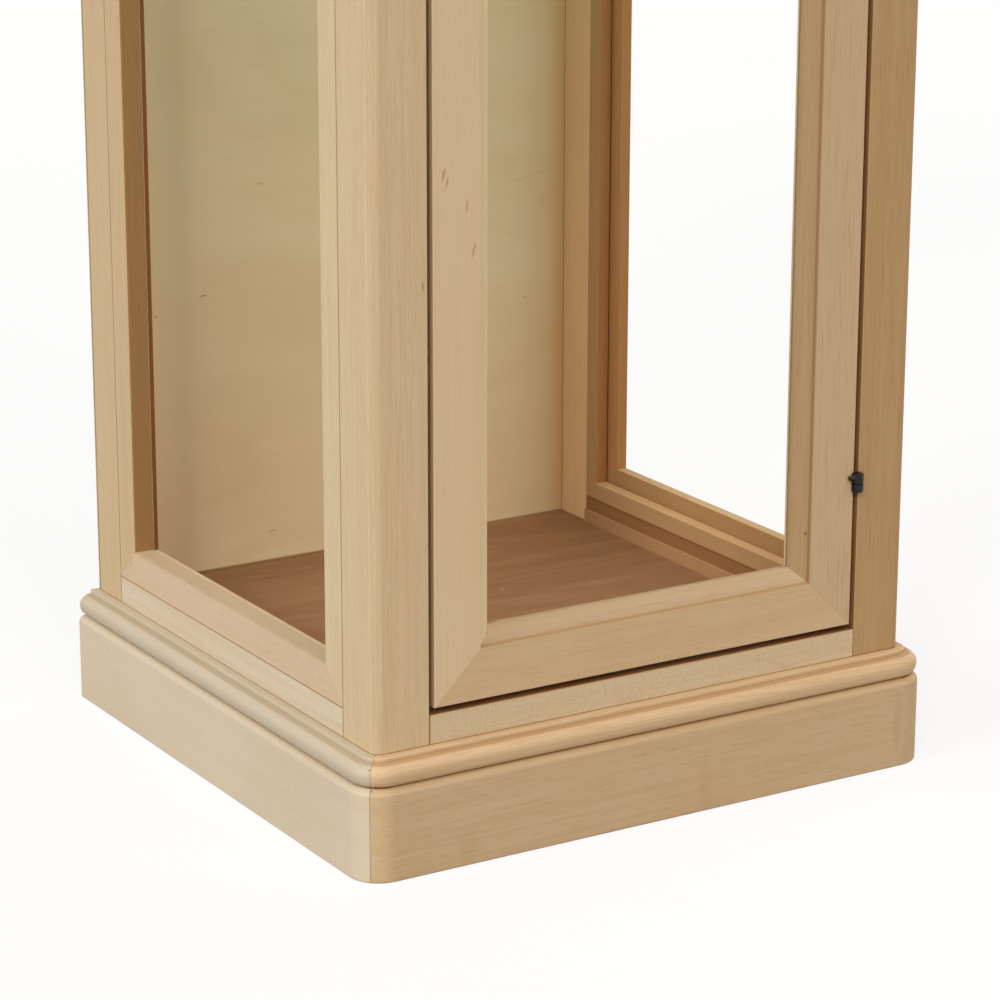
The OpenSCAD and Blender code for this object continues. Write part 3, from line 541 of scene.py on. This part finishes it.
def plainMaterial(name, tone, roughness, metallic=0.0):
    material = newMaterial(name)
    tree = material.node_tree
    place = addNode(tree, "ShaderNodeTexCoord").outputs["Object"]
    grains = addNode(tree, "ShaderNodeTexNoise", {
        "Vector": place, "Scale": 1 / (gritLook["size"] * mm), "Detail": 2.0})
    colour = addNode(tree, "ShaderNodeMix", {
        mixFactor: grains.outputs[0], mixA: linear(tone), mixB: shaded(linear(tone), gritLook["shade"])},
        data_type="RGBA")
    rough = addNode(tree, "ShaderNodeMapRange", {
        "Value": grains.outputs[0], "To Min": roughness - gritLook["spread"],
        "To Max": roughness + gritLook["spread"]})
    shader = addNode(tree, "ShaderNodeBsdfPrincipled", {
        "Base Color": colour.outputs[mixResult], "Roughness": rough.outputs[0], "Metallic": metallic})
    return closeMaterial(material, shader.outputs[0])


# Clear float glass. A pane bends what is seen through it, as a real one does, so the bead behind its edge
# shows where it should, while lamps shine straight through. A shelf would look black wherever its glass
# reflects in full, so a shelf is seen straight through, with the faint green of thick glass.
glassLook = {"bend": 1.5, "coat": 1.04, "coatRough": 0.02}      # a coat that reflects almost nothing


def clearGlass(name, bends, tint):
    material = newMaterial(name)
    tree = material.node_tree
    body = addNode(tree, "ShaderNodeBsdfTransparent", {"Color": linear(tint)})
    if bends:
        path = addNode(tree, "ShaderNodeLightPath")
        looked = addNode(tree, "ShaderNodeMath", {
            0: path.outputs["Is Camera Ray"], 1: path.outputs["Is Transmission Ray"]}, operation="MAXIMUM")
        bent = addNode(tree, "ShaderNodeBsdfRefraction", {
            "Color": linear(tint), "Roughness": 0.0, "IOR": glassLook["bend"]})
        body = addNode(tree, "ShaderNodeMixShader", {
            0: looked.outputs[0], 1: body.outputs[0], 2: bent.outputs[0]})
    # The sheen lies on the near side of each face, so that no light is caught inside the plate
    sheen = addNode(tree, "ShaderNodeFresnel", {"IOR": glassLook["coat"]})
    inside = addNode(tree, "ShaderNodeNewGeometry").outputs["Backfacing"]
    outside = addNode(tree, "ShaderNodeMath", {0: 1.0, 1: inside}, operation="SUBTRACT")
    sheen = addNode(tree, "ShaderNodeMath", {
        0: sheen.outputs[0], 1: outside.outputs[0]}, operation="MULTIPLY")
    gloss = addNode(tree, "ShaderNodeBsdfGlossy", {"Roughness": glassLook["coatRough"]})
    mixed = addNode(tree, "ShaderNodeMixShader", {
        0: sheen.outputs[0], 1: body.outputs[0], 2: gloss.outputs[0]})
    return closeMaterial(material, mixed.outputs[0])


# Glass plates with ground edges, in mm. The panes are cut a hair thinner than their seats.
glassPlates = {
    "left_pane": {"thin": "x", "slack": 0.05, "edge": 0.4, "steps": 1},
    "right_pane": {"thin": "x", "slack": 0.05, "edge": 0.4, "steps": 1},
    "door_pane": {"thin": "y", "slack": 0.05, "edge": 0.4, "steps": 1},
    "shelf_lower": {"thin": "z", "slack": 0.0, "edge": 1.5, "steps": 3},
    "shelf_upper": {"thin": "z", "slack": 0.0, "edge": 1.5, "steps": 3},
}
paneGlass = clearGlass("coated float glass", True, "#ffffff")
shelfGlass = clearGlass("thick float glass", False, "#f3fbf7")
for name, plate in glassPlates.items():
    low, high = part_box(name)
    axis = "xyz".index(plate["thin"])
    low[axis] += plate["slack"] * mm
    high[axis] -= plate["slack"] * mm
    bpy.ops.object.select_all(action="DESELECT")
    bpy.ops.mesh.primitive_cube_add(size=1, location=(low + high) / 2, scale=high - low)
    piece = bpy.context.object
    piece.name = name + "_finished"
    bpy.ops.object.transform_apply(location=True, rotation=True, scale=True)
    bpy.ops.object.mode_set(mode="EDIT")
    bpy.ops.mesh.bevel(offset=plate["edge"] * mm, segments=plate["steps"], affect="EDGES")
    bpy.ops.object.mode_set(mode="OBJECT")
    piece.data.materials.append(shelfGlass if name.startswith("shelf_") else paneGlass)
    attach(piece, nodes[name]["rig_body"])
    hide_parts(name)
print("glass cut:", len(glassPlates))


# Panels: birch plywood with a broad soft figure, and the floor's walnut veneer
plyTone = "#eedfb8"
panels = {
    "back_panel": {"slot": "birch_ply", "outside": alongY, "look": {
        "name": "birch plywood back", "tone": plyTone,
        "spots": [
            {"at": (-131.9, 237.5, 322.5), "size": (5, 4, 1.4), "turn": (0, -8, 0), "strength": 0.9},
            {"at": (-174.8, 237.5, 310.2), "size": (1.6, 4, 1.2), "strength": 0.9},
            {"at": (-79.2, 237.5, 408.8), "size": (5, 4, 1.2), "turn": (0, -6, 0), "strength": 0.4},
            {"at": (170.3, 237.5, 285.2), "size": (4, 4, 1.4), "strength": 0.4},
            {"at": (-72.6, 237.5, 115.8), "size": (5, 4, 1.3), "turn": (0, -10, 0), "strength": 0.6},
            {"at": (176, 237.5, 390), "size": (48, 4, 1.6), "turn": (0, -10, 0), "strength": 0.15}],
        # Painted light and shade: a broad lighter band at the left end of the back, a darker warm band at
        # its right end and a dark line along its foot
        "stripes": [
            {"way": alongX, "at": 212, "wide": 22, "shade": (0.92, 0.78, 0.58), "strength": 0.8},
            {"way": alongX, "at": -215, "wide": 90, "shade": (1.17, 1.18, 1.22), "strength": 1.0},
            {"way": alongZ, "at": 90.5, "wide": 1.6, "shade": (0.45, 0.32, 0.20), "strength": 0.8}]}},
    "ceiling_panel": {"slot": "birch_ply", "outside": alongZ, "look": {
        "name": "birch plywood top", "tone": plyTone}},
    "floor_panel": {"slot": "walnut_veneer", "outside": (0, 0, -1), "look": {
        "name": "walnut veneer", "tone": "#a07955",
        "bands": 0.8, "bandAcross": 16, "bandAlong": 300, "bandShade": (0.80, 0.72, 0.66),
        "rings": 0.5, "ringAcross": 90, "ringShade": (0.72, 0.62, 0.56),
        "pores": 0.6, "poreAlong": 30, "clouds": 0.5,
        "spots": [
            {"at": (46.2, 70.3, 90.5), "size": (3, 3, 3), "strength": 0.8, "shade": (1.45, 1.7, 2.0)},
            {"at": (207.9, 196.8, 90.5), "size": (1.5, 3, 3), "strength": 0.9},
            {"at": (205.5, 142.9, 90.5), "size": (1.5, 3, 3), "strength": 0.9}]}},
}
plyFigure = {
    "bands": 0.3, "bandAcross": 70, "bandAlong": 260, "bandShade": (0.90, 0.86, 0.78),
    "rings": 0.28, "ringCount": 6, "ringAcross": 150, "ringAlong": 420, "ringShade": (0.90, 0.83, 0.70),
    "lines": 0.12, "lineAcross": 3.0, "pores": 0.08, "flecks": 0.05,
    "clouds": 0.5, "cloudSize": 130, "cloudShade": (0.92, 0.85, 0.74), "bump": 0.05,
}
for number, (name, panel) in enumerate(panels.items()):
    piece = finishedCopy(name)
    figure = {**(plyFigure if panel["slot"] == "birch_ply" else {}), **panel["look"]}
    shift = (panelShift[0] + number, *panelShift[1:])
    piece.data.materials.append(beech(along="x", shift=shift, **figure))

    # The side that faces away from the room inside has none of the marks
    figure = {**figure, "name": figure["name"] + " outside", "spots": (), "stripes": ()}
    piece.data.materials.append(beech(along="x", shift=shift, **figure))
    for face in piece.data.polygons:
        if face.normal.dot(Vector(panel["outside"])) > 0.5:
            face.material_index = 1
print("panels finished:", len(panels))


# Metal and plastic pieces. A cross is cut in the screw heads, at their end on the plus side of the axis
# given.
steel = plainMaterial("zinc plated steel", "#b9b9b5", 0.32, metallic=1.0)
iron = plainMaterial("black oxide steel", "#141414", 0.38, metallic=0.4)
plastic = plainMaterial("white ABS", "#e9e4da", 0.45)
hardware = {
    "hinge_door_halves": {"finish": iron, "slot": "black_iron"},
    "hinge_post_halves": {"finish": iron, "slot": "black_iron"},
    "knob": {"finish": iron, "slot": "black_iron"},
    "hinge_pins": {"finish": steel, "slot": "bright_steel"},
    "shelf_pins": {"finish": steel, "slot": "bright_steel", "arris": 0.4},
    "strike_plate": {"finish": steel, "slot": "bright_steel", "arris": 0.2},
    "catch": {"finish": plastic, "slot": "catch_housing", "arris": 0.5},
    "back_screws": {"finish": steel, "slot": "bright_steel", "cross": "y"},
    "catch_screws": {"finish": steel, "slot": "bright_steel", "cross": "x"},
    "knob_screw": {"finish": steel, "slot": "bright_steel", "cross": "y"},
}
crossLong, crossWide, crossDeep = 3.8, 0.8, 1.1      # mm


def cutCross(piece, axis):
    mesh = piece.data
    out = "xyz".index(axis)
    heads = []
    for faces in islandsOf(mesh):
        low, high = boxOf(mesh, faces)
        centre = (low + high) / 2
        centre[out] = high[out]
        heads.append(centre)
    for long in (k for k in range(3) if k != out):
        size = [crossWide * mm] * 3
        size[out] = 2 * crossDeep * mm
        size[long] = crossLong * mm
        slots = []
        for centre in heads:
            bpy.ops.mesh.primitive_cube_add(size=1, location=centre, scale=size)
            slots.append(bpy.context.object)
        bpy.ops.object.select_all(action="DESELECT")
        for slot in slots:
            slot.select_set(True)
        if len(slots) > 1:
            bpy.ops.object.join()
        cutter = bpy.context.object
        bpy.ops.object.transform_apply(location=True, rotation=True, scale=True)
        selectOnly(piece)
        bpy.ops.object.modifier_add(type="BOOLEAN")
        piece.modifiers[-1].object = cutter
        bpy.ops.object.modifier_apply(modifier=piece.modifiers[-1].name)
        bpy.data.objects.remove(cutter)
    bpy.ops.object.shade_smooth_by_angle(angle=math.radians(finishing["sharp"]))


for name, part in hardware.items():
    piece = finishedCopy(name, arris=part.get("arris", 0), joined="arris" in part)
    if "cross" in part:
        cutCross(piece, part["cross"])
    piece.data.materials.clear()
    piece.data.materials.append(part["finish"])
print("hardware finished:", len(hardware))


# Light, floor and camera

studio = {
    "ambient": 0.20,
    "ambientTint": "#fff1e0",
    "floorSize": 60,
    "floorShade": 0.18,
    "floorTone": "#b4b2af",
    "floorGlow": 1.0,
    "lamps": {
        "key": {"azimuth": -88, "elevation": 30, "level": 0.50, "tint": "#f4f8ff", "spread": 28},
        "skyLeft": {"azimuth": -75, "elevation": 62, "level": 0.17, "tint": "#fbfbff", "spread": 80},
        "side": {"azimuth": -47, "elevation": 38, "level": 0.22, "tint": "#fff8f0", "spread": 10},
        "front": {"azimuth": -2, "elevation": 40, "level": 0.26, "tint": "#fff6ec", "spread": 24},
        "fill": {"azimuth": 30, "elevation": 25, "level": 0.10, "tint": "#fff6ec", "spread": 24},
        "rim": {"azimuth": 110, "elevation": 15, "level": 0.34, "tint": "#fff8f0", "spread": 40},
    },
}


def towards(azimuth, elevation):
    a, e = math.radians(azimuth), math.radians(elevation)
    return Vector((math.sin(a) * math.cos(e), -math.cos(a) * math.cos(e), math.sin(e)))


for name, lamp in studio["lamps"].items():
    light = bpy.data.lights.new(name, "SUN")
    light.energy = lamp["level"] * math.pi
    light.color = linear(lamp["tint"])[:3]
    light.angle = math.radians(lamp["spread"])
    holder = bpy.data.objects.new(name, light)
    holder.rotation_mode = "QUATERNION"
    holder.rotation_quaternion = towards(lamp["azimuth"], lamp["elevation"]).to_track_quat("Z", "Y")
    bpy.context.scene.collection.objects.link(holder)


# What the camera sees directly, in a reflection or through glass
def seenFactor(tree):
    path = addNode(tree, "ShaderNodeLightPath")
    both = addNode(tree, "ShaderNodeMath", {
        0: path.outputs["Is Camera Ray"], 1: path.outputs["Is Glossy Ray"]}, operation="MAXIMUM")
    return addNode(tree, "ShaderNodeMath", {
        0: both.outputs[0], 1: path.outputs["Is Transmission Ray"]}, operation="MAXIMUM").outputs[0]


world = bpy.data.worlds.new("studio")
bpy.context.scene.world = world
world.use_nodes = True
sky = world.node_tree
sky.nodes.clear()
tint = linear(studio["ambientTint"])
dim = addNode(sky, "ShaderNodeBackground", {"Color": tint, "Strength": studio["ambient"]})
white = addNode(sky, "ShaderNodeBackground", {"Color": pureWhite, "Strength": 1.0})
both = addNode(sky, "ShaderNodeMixShader", {0: seenFactor(sky), 1: dim.outputs[0], 2: white.outputs[0]})
addNode(sky, "ShaderNodeOutputWorld", {"Surface": both.outputs[0]})

bpy.ops.mesh.primitive_plane_add(size=studio["floorSize"], location=(0, 0, 0))
floor = bpy.context.object
floor.name = "floor"
paper = newMaterial("white paper floor")
tree = paper.node_tree
seen = seenFactor(tree)
sheet = addNode(tree, "ShaderNodeMix", {
    mixFactor: seen, mixA: linear(studio["floorTone"]), mixB: pureWhite}, data_type="RGBA")
matt = addNode(tree, "ShaderNodeBsdfDiffuse", {"Color": sheet.outputs[mixResult]})
glow = addNode(tree, "ShaderNodeEmission", {"Color": pureWhite, "Strength": studio["floorGlow"]})
share = addNode(tree, "ShaderNodeMath", {0: seen, 1: 1 - studio["floorShade"]}, operation="MULTIPLY")
lit = addNode(tree, "ShaderNodeMixShader", {0: share.outputs[0], 1: matt.outputs[0], 2: glow.outputs[0]})
floor.data.materials.append(closeMaterial(paper, lit.outputs[0]))

view = {
    "place": (-1.3609, -2.2216, 0.955),
    "pitch": 73.645,
    "roll": -0.105,
    "yaw": -31.481,
    "lens": 125.4,
    "sensor": 36,
    "far": 200,
}
camera = bpy.data.objects.new("camera", bpy.data.cameras.new("camera"))
camera.data.lens = view["lens"]
camera.data.sensor_width = view["sensor"]
camera.data.clip_end = view["far"]
camera.location = view["place"]
camera.rotation_euler = Euler([math.radians(view[key]) for key in ("pitch", "roll", "yaw")], "XYZ")
bpy.context.scene.collection.objects.link(camera)
bpy.context.scene.camera = camera
bpy.context.scene.view_settings.view_transform = "Standard"
print("studio set")
